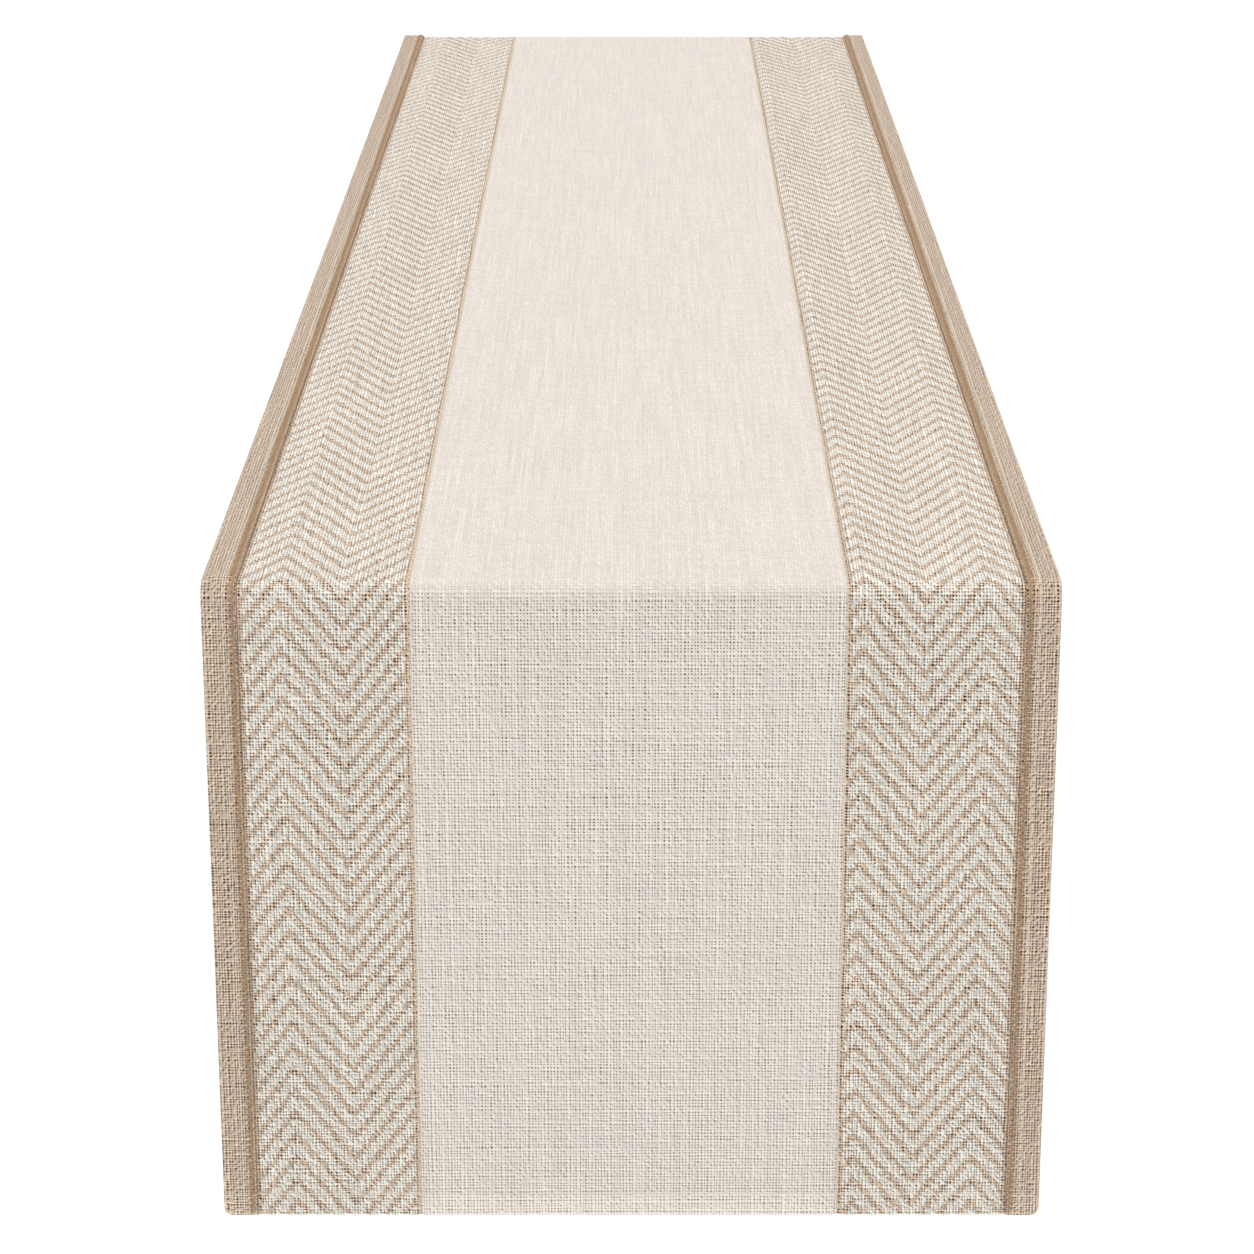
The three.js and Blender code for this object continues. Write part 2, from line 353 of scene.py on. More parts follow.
def zone(tree, value, start, width, colour, inside):
    """Scales a colour by inside where the value is past start, over a soft edge."""
    scale = add(tree, "MapRange", {}, {
        "Value": value, "From Min": start, "From Max": start + width, "To Min": 1.0, "To Max": inside,
    })[0]
    return add(tree, "VectorMath", {"operation": "SCALE"}, {"Vector": colour, "Scale": scale})[0]


# %% [markdown]
# Between four neighbouring threads there is a pore, and no two are alike. Its dark is painted shade.
# Where the cloth hangs, light from above only grazes it, so a pore shows the shade behind it. On the
# table the light falls straight into the pores, so their painted shade is fainter there and shared out
# evenly, so that the cloth is as light as before and only its grain is fainter.

# %% Pores
GAP_SHARE = 0.6  # the mean over a cloth of what its crossings leave dark
PORE_SHARE = 0.15  # and of its pores
PORE_FULL = 0.5  # the depth from which a pore is quite dark
PORE_SHADE_FROM = bend_start + bend_length / 3  # the pores' painted shade deepens from here round the bend, as the light turns to grazing
PORE_SHADE_TO = bend_start + bend_length * 1.2


def pores(tree, cells, crest, sizes, least):
    """Depth of the hole between four threads, each of its own size. One under the least depth is shut."""
    gap_u = add(tree, "Math", {"operation": "SUBTRACT"}, [1.0, crest[0]])[0]
    gap_v = add(tree, "Math", {"operation": "SUBTRACT"}, [1.0, crest[1]])[0]
    hole = add(tree, "Math", {"operation": "MULTIPLY"}, [gap_u, gap_v])[0]
    nearest = add(tree, "VectorMath", {"operation": "ADD"}, [cells, (0.5, 0.5, 0)])[0]
    number = add(tree, "VectorMath", {"operation": "FLOOR"}, [nearest])[0]
    chance = add(tree, "TexWhiteNoise", {"noise_dimensions": "2D"}, {"Vector": number})["Value"]
    size = add(tree, "MapRange", {}, {"Value": chance, "To Min": sizes[0], "To Max": sizes[1]})[0]
    depth = add(tree, "Math", {"operation": "MULTIPLY"}, [hole, size])[0]
    return add(tree, "MapRange", {"interpolation_type": "SMOOTHSTEP"}, {
        "Value": depth, "From Min": least, "From Max": PORE_FULL,
    })[0]


def share_out(tree, dark, usual, place, shade_on_table):
    """Pores' painted shade as it is on the drops, and nearly the usual shade all over on the lit table."""
    along = add(tree, "SeparateXYZ", {}, [place])[1]
    far = add(tree, "Math", {"operation": "ABSOLUTE"}, [along])[0]
    shade_shown = add(tree, "MapRange", {}, {
        "Value": far, "From Min": PORE_SHADE_FROM / MM, "From Max": PORE_SHADE_TO / MM,
        "To Min": shade_on_table, "To Max": 1.0,
    })[0]
    return add(tree, "Mix", {}, {"Factor": shade_shown, "A": usual, "B": dark})[0]


# %% [markdown]
# A plain weave passes each thread over one and under the next. From a step away it reads as a fine net
# of pale threads with dark pores, under the streaks. The turned-up hem is double, so less of the pores'
# painted shade shows through it and it is painted lighter, and the tan cloth gets a little painted shade
# where the overcast seam crosses it. Two finishes share one function: an undyed ivory cotton for the
# centre, and a more open tan one for the borders.

# %% Plain weave
IVORY_PITCH = (1.36, 1.42)  # mm between lengthwise threads and between crosswise threads
TAN_PITCH = (1.25, 1.25)
PLAIN_RELIEF = 0.3 * MM
HEM_LIGHT = 1.09  # how much lighter the double hem is painted, as less of the pores' shade shows through it
HEM_BLUR = 0.5  # mm over which the hem's line is soft
SEAM_ZONE = 3.4  # mm of the border's face that the overcast seam crosses
SEAM_BLUR = 0.6
FOLD_LOSS = 0.3  # mm that the border's round fold takes off twice its width
hem_line = (drop_end - hem_depth) / MM
border_start = abs(spans["border_right"][0] - SEAM_TOUCH) / MM
border_sheet = 2 * (half_width / MM - border_start) - FOLD_LOSS


def plain_weave(name, thread, gap_shade, pitch, sizes, least, lines, holes, shade_on_table, streak, speck, seam_shade):
    """Matt plain-woven cotton. lines and holes say how much painted shade the gaps and pores between threads
    hold.
    """
    material, tree = new_material(name)
    place, cells = thread_grid(tree, *pitch)
    crest = thread_crests(tree, cells)
    over = add(tree, "Math", {"operation": "MULTIPLY"}, [crest[0], crest[1]])[0]
    between = add(tree, "Math", {"operation": "MULTIPLY_ADD"}, [over, -lines, lines])[0]
    pore = pores(tree, cells, crest, sizes, least)
    dark = add(tree, "Math", {"operation": "MULTIPLY_ADD"}, [pore, holes, between])[0]
    shown = share_out(tree, dark, lines * GAP_SHARE + holes * PORE_SHARE, place, shade_on_table)
    # The gap colour is painted shade: the dark that falls in the gaps and pores between threads.
    colour = add(tree, "Mix", {"data_type": "RGBA"}, {"Factor": shown, 6: linear(thread), 7: linear(gap_shade)})[2]
    colour = speckle(tree, cells, colour, speck)
    colour = streaked(tree, colour, place, cells, streak)
    far = add(tree, "VectorMath", {"operation": "ABSOLUTE"}, [place])[0]
    place_far = add(tree, "SeparateXYZ", {}, [far])
    colour = zone(tree, place_far[1], hem_line, HEM_BLUR, colour, HEM_LIGHT)
    seam_line = border_start + border_sheet - SEAM_ZONE
    colour = zone(tree, place_far[0], seam_line, SEAM_BLUR, colour, seam_shade)
    close_material(tree, colour, over, PLAIN_RELIEF)
    return material


# Each cloth's dark colour is painted shade for its gaps and pores, fainter on the table where light falls
# in.
ivory_plain_weave = plain_weave(
    "ivory_slub_cotton_plain_weave", thread="fdf5ec", gap_shade="643e20", pitch=IVORY_PITCH,
    sizes=(0.5, 1.65), least=0.18, lines=0.05, holes=0.86, shade_on_table=0.26,
    streak=0.04, speck=0.08, seam_shade=1.0,
)
tan_plain_weave = plain_weave(
    "tan_slub_cotton_plain_weave", thread="ecd6bf", gap_shade="442b14", pitch=TAN_PITCH,
    sizes=(0.1, 2.4), least=0.08, lines=0.10, holes=1.50, shade_on_table=0.50,
    streak=0.05, speck=0.20, seam_shade=0.86,
)

# %% [markdown]
# Herringbone is a twill whose diagonal turns back on itself. Here a stripe of tan yarn and a wider one
# of ivory yarn climb to a peak and fall to a valley every 26 mm or so. The pattern is one sum: a point's
# climb across the band is taken from its place along it, and what is left over after whole repeats says
# which stripe it is in. On the table the repeat is drawn longer than on the drops.
#
# The sum is needed twice. The mesh uses it here to raise the ivory floats over the tan ground, and the
# shader repeats it below to colour them.

# %% Herringbone pattern
STRIPE = 10.7  # mm along the cloth from one tan stripe to the next
SLOPE = 1.27  # how far a stripe climbs for each mm across
ZIGZAG = 25.7  # mm across from a valley to the next peak
TAN_SHARE = 0.38  # of each repeat
TABLE_STRETCH = 1.33  # how much longer the repeat is on the table than on the drops
RISE = 0.12  # of half a repeat, on each side of a stripe's edge, over which the floats rise
# Where the middle valley lies, as a share of the band's width from its left edge
VALLEY_SHARE = {"herringbone_band_left": 0.603, "herringbone_band_right": 0.432}


def valley_place(name):
    """Where a band's middle valley lies across the runner, in mm from the centre line."""
    low, high = spans[name]
    return (low + (high - low) * VALLEY_SHARE[name]) / MM


def tan_depth(u, v, valley):
    """How deep in a tan stripe a point is, from 0 in the ivory to 1: the same sum as the shader's."""
    across = abs(u - valley) % (2 * ZIGZAG)
    climb = across if across <= ZIGZAG else 2 * ZIGZAG - across
    on_table = max(-bend_start / MM, min(bend_start / MM, v))
    along = v - (1 - 1 / TABLE_STRETCH) * on_table
    part = ((along - SLOPE * climb) / STRIPE) % 1.0
    off = abs(part - 0.5) * 2
    return max(0.0, min(1.0, (TAN_SHARE + RISE - off) / (2 * RISE)))


for name in bands:
    print(f"{name}: middle valley {valley_place(name):.1f} mm from the centre line")

# %% [markdown]
# The loom can only change colour a whole thread at a time, so the edge of each stripe is a small
# staircase, and here and there a thread strays. That is why the shader reads the pattern at whole
# threads. Both edges of a band are woven all tan, a selvedge that shows as a line beside each seam.

# %% Herringbone stripes
FLOAT_PITCH = (1.25, 1.32)  # mm between lengthwise threads and between crosswise threads
STRAY = 0.14  # of a repeat that a stripe's edge may wander
STRIPE_BLUR = 0.04  # of a repeat, on each side of that edge, over which it is soft
SELVEDGE = 1.4  # mm of tan along both edges of a band


def tan_stripes(tree, band, place, cells):
    """Is 1 where a thread is tan and 0 where it is ivory."""
    low, high = (x / MM for x in spans[band])
    number = add(tree, "VectorMath", {"operation": "FLOOR"}, [cells])[0]
    stepped = add(tree, "VectorMath", {"operation": "MULTIPLY"}, [number, (*FLOAT_PITCH, 0)])[0]
    step = add(tree, "SeparateXYZ", {}, [stepped])
    raw = add(tree, "SeparateXYZ", {}, [place])
    from_valley = add(tree, "Math", {"operation": "SUBTRACT"}, [step[0], valley_place(band) + UNEVEN / 2])[0]
    climb = add(tree, "Math", {"operation": "PINGPONG"}, [from_valley, ZIGZAG])[0]
    on_table = add(tree, "Clamp", {}, [raw[1], -bend_start / MM, bend_start / MM])[0]
    along = add(tree, "Math", {"operation": "MULTIPLY_ADD"}, [on_table, 1 / TABLE_STRETCH - 1, raw[1]])[0]
    slanted = add(tree, "Math", {"operation": "MULTIPLY_ADD"}, [climb, -SLOPE, along])[0]
    repeats = add(tree, "Math", {"operation": "DIVIDE"}, [slanted, STRIPE])[0]
    part = add(tree, "Math", {"operation": "WRAP"}, [repeats, 1.0, 0.0])[0]
    off = add(tree, "Math", {"operation": "SUBTRACT"}, [part, 0.5])[0]
    far = add(tree, "Math", {"operation": "ABSOLUTE"}, [off])[0]
    chance = add(tree, "TexWhiteNoise", {"noise_dimensions": "2D"}, {"Vector": number})["Value"]
    strayed = add(tree, "Math", {"operation": "MULTIPLY_ADD"}, [chance, STRAY, far])[0]
    edge = (TAN_SHARE + STRAY) / 2
    in_stripe = add(tree, "MapRange", {"interpolation_type": "SMOOTHSTEP"}, {
        "Value": strayed, "From Min": edge + STRIPE_BLUR, "From Max": edge - STRIPE_BLUR,
    })[0]
    from_middle = add(tree, "Math", {"operation": "SUBTRACT"}, [raw[0], (low + high) / 2])[0]
    sideways = add(tree, "Math", {"operation": "ABSOLUTE"}, [from_middle])[0]
    at_edge = add(tree, "Math", {"operation": "GREATER_THAN"}, [sideways, (high - low) / 2 - SELVEDGE])[0]
    return add(tree, "Math", {"operation": "MAXIMUM"}, [in_stripe, at_edge])[0]


# %% [markdown]
# Ivory yarn floats lengthwise and tan yarn crosswise, so the two stripes differ in grain as well as in
# colour: each has its own round crest, and the tan ground is more open and shows darker pores. Gaps and
# pores are painted shade, tinted by the yarn around them: a warm brown deep in the tan.

# %% Herringbone weave
TWILL_RELIEF = 0.35 * MM
BETWEEN = 0.06  # how much painted shade lies in the lines between threads
TWILL_SIZES = (0.1, 2.4)  # the smallest and the largest pore, next to the usual one
TWILL_LEAST = 0.08  # the least depth that makes a pore
IVORY_PORE = 0.85  # how much painted shade the pores hold among the ivory floats
TAN_PORE = 2.2  # and in the tan stripes, where more ground shows


def herringbone(name, band, tan, ivory, tan_gap_shade, ivory_gap_shade, shade_on_table, streak, speck):
    """Matt cotton twill for one band."""
    material, tree = new_material(name)
    place, cells = thread_grid(tree, *FLOAT_PITCH)
    is_tan = tan_stripes(tree, band, place, cells)
    crest = thread_crests(tree, cells)
    lengthwise = add(tree, "Math", {"operation": "MULTIPLY_ADD"}, [crest[1], 0.5, 0.5])[0]
    ivory_up = add(tree, "Math", {"operation": "MULTIPLY"}, [crest[0], lengthwise])[0]
    crosswise = add(tree, "Math", {"operation": "MULTIPLY_ADD"}, [crest[0], 0.5, 0.5])[0]
    tan_up = add(tree, "Math", {"operation": "MULTIPLY"}, [crest[1], crosswise])[0]
    height = add(tree, "Mix", {}, {"Factor": is_tan, "A": ivory_up, "B": tan_up})[0]
    between = add(tree, "Math", {"operation": "MULTIPLY_ADD"}, [height, -BETWEEN, BETWEEN])[0]
    depth = add(tree, "Math", {"operation": "MULTIPLY_ADD"}, [is_tan, TAN_PORE - IVORY_PORE, IVORY_PORE])[0]
    pore = pores(tree, cells, crest, TWILL_SIZES, TWILL_LEAST)
    dark = add(tree, "Math", {"operation": "MULTIPLY_ADD"}, [pore, depth, between])[0]
    usual = add(tree, "Math", {"operation": "MULTIPLY_ADD"}, [depth, PORE_SHARE, BETWEEN / 2])[0]
    shown = share_out(tree, dark, usual, place, shade_on_table)
    thread_colour = add(tree, "Mix", {"data_type": "RGBA"}, {
        "Factor": is_tan, 6: linear(ivory), 7: linear(tan),
    })[2]
    # The gap colours are painted shade: the dark in the gaps and pores, warm from the yarn around them.
    gap_shade_colour = add(tree, "Mix", {"data_type": "RGBA"}, {
        "Factor": is_tan, 6: linear(ivory_gap_shade), 7: linear(tan_gap_shade),
    })[2]
    colour = add(tree, "Mix", {"data_type": "RGBA"}, {"Factor": shown, 6: thread_colour, 7: gap_shade_colour})[2]
    colour = speckle(tree, cells, colour, speck)
    colour = streaked(tree, colour, place, cells, streak)
    close_material(tree, colour, height, TWILL_RELIEF)
    return material


# The two dark colours are painted shade for the gaps and pores, fainter on the table where light falls in.
herringbone_weave = {
    name: herringbone(
        f"ivory_and_tan_cotton_herringbone_{name.rsplit('_', 1)[1]}", band=name,
        tan="f0dac3", ivory="fff8ed", tan_gap_shade="3f250f", ivory_gap_shade="54361c",
        shade_on_table=0.82, streak=0.06, speck=0.20,
    )
    for name in bands
}

# %% [markdown]
# Sewing thread is two fine plies twisted together, with a faint gloss. It is far finer than the yarn,
# so a slanted ripple on the stitch is all of the twist that the eye can find.

# %% Sewing thread
TWIST_SCALE = 900.0  # a ripple every 0.7 mm along the thread
TWIST_RELIEF = 0.05 * MM


def spun_thread(name, colour, shadow):
    material, tree = new_material(name)
    place = add(tree, "TexCoord", {}, {})["Object"]
    twist = add(tree, "TexWave", {"bands_direction": "DIAGONAL"}, {
        "Vector": place, "Scale": TWIST_SCALE,
    })["Fac"]
    twisted = add(tree, "Mix", {"data_type": "RGBA"}, {
        "Factor": twist, 6: linear(shadow), 7: linear(colour),
    })[2]
    close_material(tree, twisted, twist, TWIST_RELIEF, roughness=0.7, sheen=0.05)
    return material


light_thread = spun_thread("ivory_spun_polyester_thread", "faf4ea", "e2d6c4")
tan_thread = spun_thread("tan_spun_polyester_thread", "f3e6d2", "e0cfb5")
dark_thread = spun_thread("brown_spun_polyester_thread", "d9b895", "906b45")

# %% [markdown]
# ## Cloth
# A seam pulls both edges down into a shallow valley, and woven cloth is never quite even. Each strip's
# face is lowered near its edges and rises and falls a few hundredths of a millimetre elsewhere. In the
# herringbone the ivory floats stand about 0.3 mm over the tan ground, which is real shape, because it
# catches the light at every angle.

# %% The single-ply strips
SEAM_DIP = 0.3 * MM
BORDER_DIP = 0.15 * MM  # beside a border, where the overcast thread fills the seam
SEAM_REACH = 1.0 * MM
FLOAT_HEIGHT = 0.32 * MM
SWELL = 0.05 * MM
SWELL_ACROSS = 6 * MM  # the size of the slow swells in the cloth's thickness, across and along
SWELL_ALONG = 20 * MM


def edge_dip(distance, deep):
    """How far the face is pulled down at a distance from its seam."""
    return deep * math.exp(-((max(distance, 0) / SEAM_REACH) ** 2))


def unevenness(u, v):
    """A slow swell in the cloth's thickness, at most a few hundredths of a millimetre."""
    return SWELL * noise.noise(Vector((u / SWELL_ACROSS, v / SWELL_ALONG, 0.0)))


def strip_piece(name, end, step, material):
    low, high = spans[name][0] - SEAM_TOUCH, spans[name][1] + SEAM_TOUCH
    bm = slab(columns_of(low, high, step), rows_of(step, ply), ply)
    mark_flat_places(bm, end)
    valley = valley_place(name) if name in bands else None
    deep_low = BORDER_DIP if valley is not None and low < 0 else SEAM_DIP
    deep_high = BORDER_DIP if valley is not None and low > 0 else SEAM_DIP

    def shape(u, s, h):
        if h < ply / 2:
            return u, h
        lift = unevenness(u, end * s) - edge_dip(u - low, deep_low) - edge_dip(high - u, deep_high)
        if valley is not None:
            lift -= FLOAT_HEIGHT * tan_depth(u / MM, end * s / MM, valley)
        return u, h + lift

    hang(bm, end, ply, shape)
    return finish_piece(f"{name}_cloth_{ENDS[end]}", bm, material), high - low


# %% [markdown]
# A border is one strip of cloth folded lengthwise, so it is round and full along the runner's edge and
# two plies thick. Its flat sheet is twice as wide as the border. A second short path, across this time,
# takes the back ply out to the fold, round it, and back over the face. Where the hem and the fold meet,
# the thick cloth can't make a sharp corner, so the lower corner of each drop is lifted onto a quarter
# round.

# %% The folded borders
CORNER_RADIUS = 3.4 * MM
CORNER_BLEND = 4  # radii of height over which the corner's lift fades out
BORDER_ROW_STEP = 1.8 * MM
BORDER_COLUMN_STEP = 1.2 * MM
BORDER_FOLD_STEP = 0.3 * MM
fold_mid = (ply + ply_gap) / 2


def border_section(q, lift, flat_part):
    """Place across a border for a flat point at q from the back ply's inner edge: reach and height."""
    fold_length = math.pi * fold_mid
    if q <= flat_part:
        return q, lift
    if q <= flat_part + fold_length:
        turn = (q - flat_part) / fold_mid
        reach = fold_mid + ply / 2 - lift
        return flat_part + reach * math.sin(turn), fold_mid + ply / 2 - reach * math.cos(turn)
    return flat_part - (q - flat_part - fold_length), border_thick - lift


def round_corner(bm, side):
    """Lifts the cloth near a lower corner of the drop onto a quarter round."""
    blend_height = CORNER_BLEND * CORNER_RADIUS
    for vert in bm.verts:
        inset = half_width - side * vert.co.x
        above = vert.co.z + drop_height
        if inset < CORNER_RADIUS and above < blend_height:
            slack = CORNER_RADIUS - max(inset, 0)
            lift = CORNER_RADIUS - math.sqrt(max(CORNER_RADIUS**2 - slack**2, 0))
            vert.co.z += lift * (1 - above / blend_height)


def border_piece(name, end, material):
    side = -1 if name.endswith("left") else 1
    inner = spans[name][0] if side > 0 else spans[name][1]
    start = inner - side * SEAM_TOUCH
    flat_part = abs(side * half_width - start) - ply - ply_gap / 2
    cut = 2 * flat_part + math.pi * fold_mid
    columns = spread(0, flat_part, BORDER_COLUMN_STEP)
    columns += spread(flat_part, cut - flat_part, BORDER_FOLD_STEP)
    columns += spread(cut - flat_part, cut - SEAM_COLUMNS[-1], BORDER_COLUMN_STEP)
    columns += [cut - x for x in reversed(SEAM_COLUMNS)]
    bm = slab(columns, rows_of(BORDER_ROW_STEP, border_thick), ply)
    mark_flat_places(bm, end, start, side)

    def shape(q, s, lift):
        reach, h = border_section(q, lift, flat_part)
        if lift < ply / 2 and q > cut / 2:
            h -= edge_dip(cut - q, BORDER_DIP) - unevenness(q, end * s)
        return start + side * reach, h

    hang(bm, end, border_thick, shape)
    round_corner(bm, side)
    return finish_piece(f"{name}_cloth_{ENDS[end]}", bm, material), cut


# %% [markdown]
# Each strip is made in two halves, which meet in the middle of the table, because one piece can bend at
# one hinge only. The front half stands for the CAD strip on the table as well as for its drop.

# %% Both halves of the five strips
BAND_STEP = 1.35 * MM  # short enough for the herringbone's relief


def join_frame(piece, name, end):
    """Hides the CAD nodes that a piece stands for, and bakes its place into its mesh."""
    nodes = [f"{name}_{ENDS[end]}_drop"] + ([f"{name}_top"] if end < 0 else [])
    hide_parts(*nodes)
    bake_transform(piece)


cloths = {}
cuts = {}
for end in ENDS:
    for name in STRIPS:
        if name.startswith("border"):
            piece, cut = border_piece(name, end, tan_plain_weave)
            cuts[name, end] = (cut, hem_end(border_thick))
            join_frame(piece, name, end)
        elif name in bands:
            piece, cut = strip_piece(name, end, BAND_STEP, herringbone_weave[name])
            cuts[name, end] = (cut, hem_end(ply))
            join_frame(piece, name, end)
        else:
            piece, cut = strip_piece(name, end, PANEL_STEP, ivory_plain_weave)
            cuts[name, end] = (cut, hem_end(ply))
            join_frame(piece, name, end)
        cloths[name, end] = piece

# %% [markdown]
# ## Stitching
# A lockstitch is a row of short, slightly sunk bars of thread. One bar is a small ball drawn out long.
# A row is that bar copied and moved on, and each copy doubles the row, so a few hundred stitches take
# eight or nine steps. The flat row is then hung over the table by the same path as the cloth.

# %% A row of stitches
THREAD = 0.65 * MM  # a little over its real 0.5 mm, so that a stitch still shows from a step away


def stitch_row(start, end, pitch, length, thickness, slants):
    """Flat stitches on the line from (0, start) to (0, end). slants are degrees from the line."""
    bm = bmesh.new()
    for i, slant in enumerate(slants):
        place = Matrix.Translation((0, start + (i + 0.5) * pitch, 0))
        turn = Matrix.Rotation(math.radians(slant), 4, "Z") @ Matrix.Rotation(math.pi / 2, 4, "X")
        size = Matrix.Diagonal((thickness, thickness, length, 1))
        bmesh.ops.create_uvsphere(bm, u_segments=6, v_segments=5, radius=0.5, matrix=place @ turn @ size)
    made = len(slants)
    while made * pitch < end - start:
        copied = bmesh.ops.duplicate(bm, geom=bm.verts[:] + bm.edges[:] + bm.faces[:])["geom"]
        verts = [item for item in copied if isinstance(item, bmesh.types.BMVert)]
        bmesh.ops.translate(bm, verts=verts, vec=(0, made * pitch, 0))
        made *= 2
    count = math.floor((end - start) / pitch)
    spare = [vert for vert in bm.verts if vert.co.y > start + count * pitch]
    bmesh.ops.delete(bm, geom=spare, context="VERTS")
    return bm


# %% [markdown]
# Three rows run the length of the runner on each side. The pale topstitch holds the border's fold. The
# brown overcast seam zigzags over the border's cut edge and down to the band, so its height follows the
# step between them. The tan seam sinks between the band and the centre.

# %% Lengthwise stitches
LAST_STITCH = 2 * MM  # above the bottom of the drop
STEP_WIDTH = 1.4 * MM  # the overcast thread comes down from the border to the band over this
PROUD = 0.12 * MM  # how high the middle of a lockstitch lies over the cloth
OVERCAST_PROUD = 0.1 * MM
SEAM_SUNK = 0.1 * MM  # how far the tan seam lies under the face, in its valley
OVERCAST_INSET = 1.45 * MM  # outwards from the seam, onto the border
OVERCAST_SLANTS = [62, 118]  # degrees from the seam, out and back
SEAM_SLANTS = [24, -24]


def over_the_step(u, s, h):
    """Lifts a stitch from the band's face to the border's face as it crosses the border's edge."""
    past = (abs(u) - spans["border_right"][0]) / STEP_WIDTH + 0.5
    share = min(max(past, 0.0), 1.0)
    return u, h + (border_thick - ply) * share * share * (3 - 2 * share)


def stitch_line(name, end, material, inset, face, pitch, length, thickness, slants, shape=None):
    """A row of stitches along one half of the runner, at its CAD thread's place and a side step."""
    low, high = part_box(f"{name}_top")
    middle = (low.x + high.x) / 2
    u = middle + math.copysign(inset, middle)
    bm = stitch_row(0, drop_end - LAST_STITCH, pitch, length, thickness, slants)
    bmesh.ops.translate(bm, verts=bm.verts[:], vec=(u, 0, face))
    hang(bm, end, ply, shape)
    piece = finish_piece(f"{name}_stitches_{ENDS[end]}", bm, material)
    join_frame(piece, name, end)
    return piece


threads = {end: [] for end in ENDS}
for end in ENDS:
    for side in ("left", "right"):
        threads[end].append(stitch_line(
            f"topstitch_{side}", end, light_thread, inset=0, face=border_thick + PROUD,
            pitch=3.6 * MM, length=3.4 * MM, thickness=THREAD, slants=[0],
        ))
        threads[end].append(stitch_line(
            f"border_seam_thread_{side}", end, dark_thread, inset=OVERCAST_INSET,
            face=ply + OVERCAST_PROUD, pitch=1.3 * MM, length=4.8 * MM, thickness=0.95 * MM,
            slants=OVERCAST_SLANTS, shape=over_the_step,
        ))
        threads[end].append(stitch_line(
            f"centre_seam_thread_{side}", end, tan_thread, inset=0, face=ply - SEAM_SUNK,
            pitch=2.4 * MM, length=2.2 * MM, thickness=0.9 * MM, slants=SEAM_SLANTS,
        ))

# %% [markdown]
# The hem is held by one straight row across each drop. The row climbs onto the thicker borders at both
# ends, by the same step as the overcast seam.

# %% Hem stitches
HEM_ROW_INSET = 1 * MM

for end, end_name in ENDS.items():
    reach = half_width - HEM_ROW_INSET
    bm = stitch_row(-reach, reach, pitch=3.6 * MM, length=3.3 * MM, thickness=THREAD, slants=[0])
    bmesh.ops.rotate(bm, verts=bm.verts[:], matrix=Matrix.Rotation(-math.pi / 2, 3, "Z"))
    bmesh.ops.translate(bm, verts=bm.verts[:], vec=(0, hem_line * MM, ply + PROUD))
    hang(bm, end, ply, over_the_step)
    piece = finish_piece(f"hem_stitches_{end_name}", bm, light_thread)
    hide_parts(f"hem_stitch_{end_name}_drop")
    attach(piece, f"{end_name}_drop")

# %% [markdown]
# Each strip's cut size, hem and folds included, is printed.

for (name, end), piece in cloths.items():
    width, length = cuts[name, end]
    print(f"{piece.name} is cut {width / MM:.1f} mm wide and {length / MM:.0f} mm long")

# %% [markdown]
# ## Room
# The runner is shown over a white floor, as if its table were not there. The floor lies well below, so
# that only a faint shadow reaches it, and it runs on to the horizon. Its paint is matt and almost pure
# white, which gives the eye nothing to look at but the cloth.

# %% Floor
FLOOR_DROP = 2.5  # m below the table
FLOOR_REACH = 80  # m from the middle to each side


def matt_paint(name, colour):
    material, tree = new_material(name)
    shader = add(tree, "BsdfPrincipled", {}, {"Base Color": linear(colour), "Roughness": 0.9})["BSDF"]
    add(tree, "OutputMaterial", {}, {"Surface": shader})
    return material


floor_bm = bmesh.new()
bmesh.ops.create_grid(floor_bm, x_segments=1, y_segments=1, size=FLOOR_REACH)
bmesh.ops.translate(floor_bm, verts=floor_bm.verts[:], vec=(0, 0, -FLOOR_DROP))
floor_mesh = bpy.data.meshes.new("floor")
floor_bm.to_mesh(floor_mesh)
floor_bm.free()
floor_mesh.materials.append(matt_paint("white_matt_floor_paint", "fefefe"))
floor = bpy.data.objects.new("floor", floor_mesh)
scene.collection.objects.link(floor)

# %% [markdown]
# Light comes from a pale sky, whitest at the horizon, and from one broad, soft sun straight above. The
# sun makes the top a little lighter than the hanging ends, and the bright horizon fills in the drops, so
# that no side of the cloth is lost in shade.

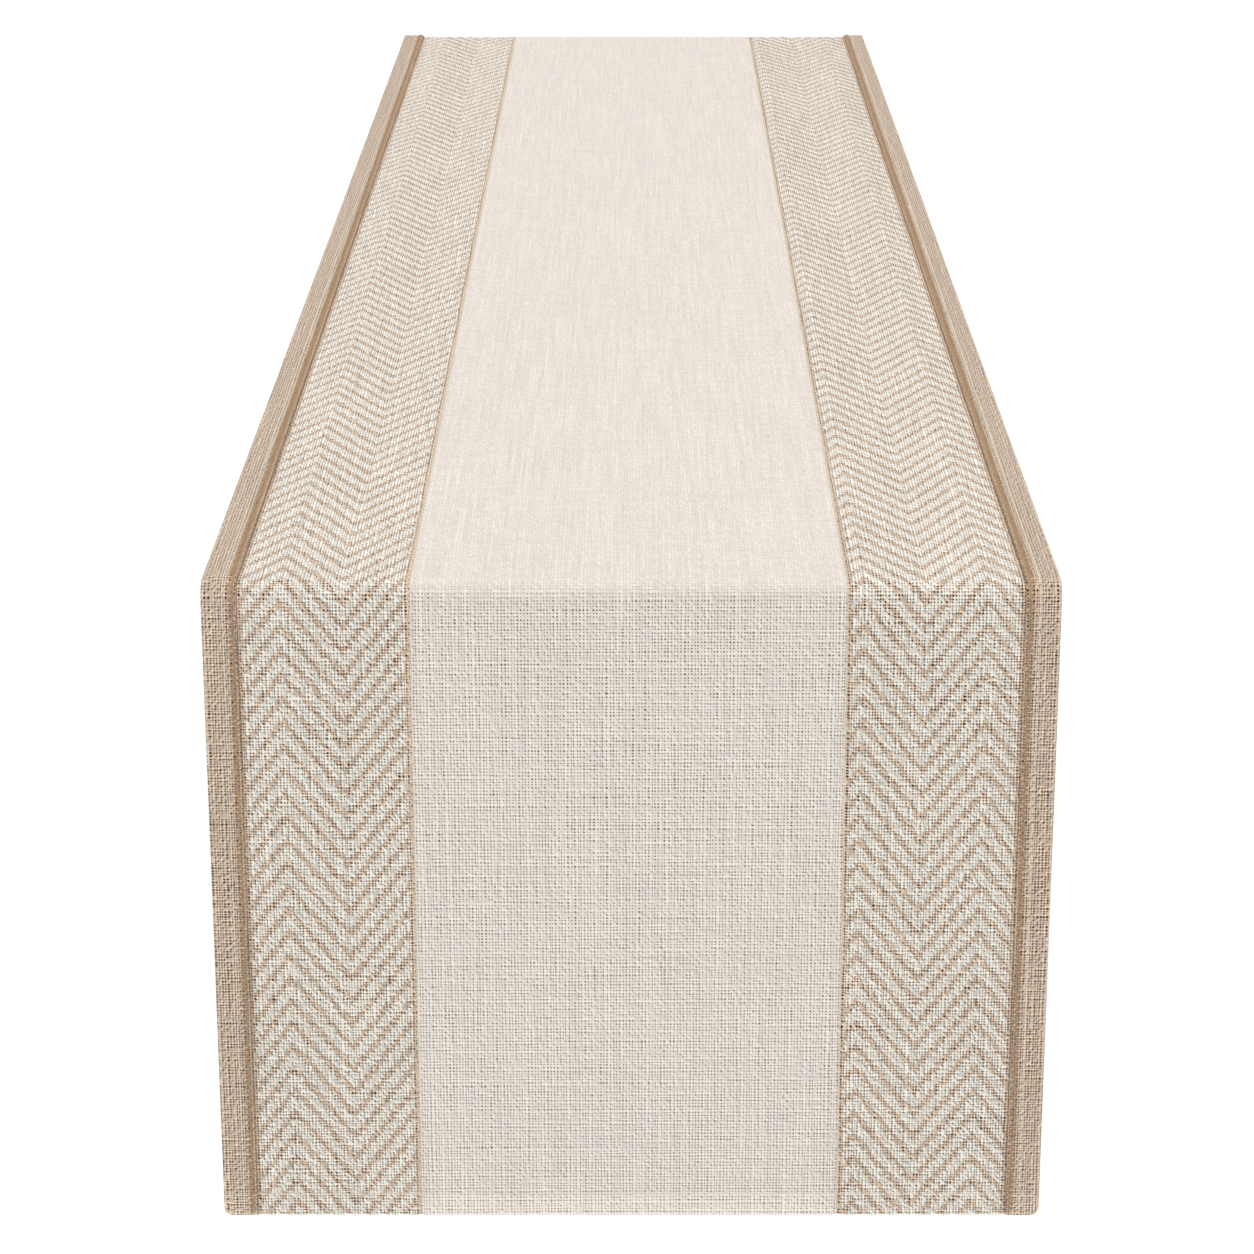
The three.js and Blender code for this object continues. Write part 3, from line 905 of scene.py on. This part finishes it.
# %% Light
HORIZON_RISE = 0.07  # the sky has its full light up to this rise over the horizon. 1 is straight up
SKY_RISE = 0.3  # and its least light from this rise on
HORIZON_LIGHT = 1.0
SKY_LIGHT = 0.46
SUN_POWER = 1.84
SUN_WIDTH = math.radians(40)

world = bpy.data.worlds.new("studio")
world.use_nodes = True
sky = world.node_tree
direction = add(sky, "TexCoord", {}, {})["Generated"]
rise = add(sky, "SeparateXYZ", {}, [direction])[2]
level = add(sky, "MapRange", {}, {
    "Value": rise, "From Min": HORIZON_RISE, "From Max": SKY_RISE,
    "To Min": HORIZON_LIGHT, "To Max": SKY_LIGHT,
})[0]
sky.links.new(level, sky.nodes["Background"].inputs["Strength"])
sky.nodes["Background"].inputs["Color"].default_value = (1, 1, 1, 1)
scene.world = world

sun_light = bpy.data.lights.new("soft_sun", "SUN")
sun_light.energy = SUN_POWER
sun_light.angle = SUN_WIDTH
sun = bpy.data.objects.new("soft_sun", sun_light)
sun.location = (0, 0, 2)
scene.collection.objects.link(sun)
print(f"sky from {HORIZON_LIGHT} down to {SKY_LIGHT}, sun {SUN_POWER}")

# %% [markdown]
# The camera stands in front of one end, a little above the table, and looks slightly down along the
# runner. A long lens keeps the far end from shrinking too much. Part of the downward look is a shift of
# the lens instead of a tilt, which keeps the hanging end's sides nearly upright.

# %% Camera
LENS = 93.96  # mm
SHIFT_X, SHIFT_Y = -0.0076, -0.2
TILT_DOWN = 16.318  # degrees
CAMERA_PLACE = (0.0022, -1.8958, 0.4625)  # m from the middle of the table's top

camera_data = bpy.data.cameras.new("camera")
camera_data.lens = LENS
camera_data.shift_x = SHIFT_X
camera_data.shift_y = SHIFT_Y
camera = bpy.data.objects.new("camera", camera_data)
camera.location = CAMERA_PLACE
camera.rotation_euler = (math.radians(90 - TILT_DOWN), 0, 0)
scene.collection.objects.link(camera)
scene.camera = camera
scene.view_settings.view_transform = "Standard"
print(f"camera {-CAMERA_PLACE[1] - drop_high.y:.2f} m in front of the hanging end")
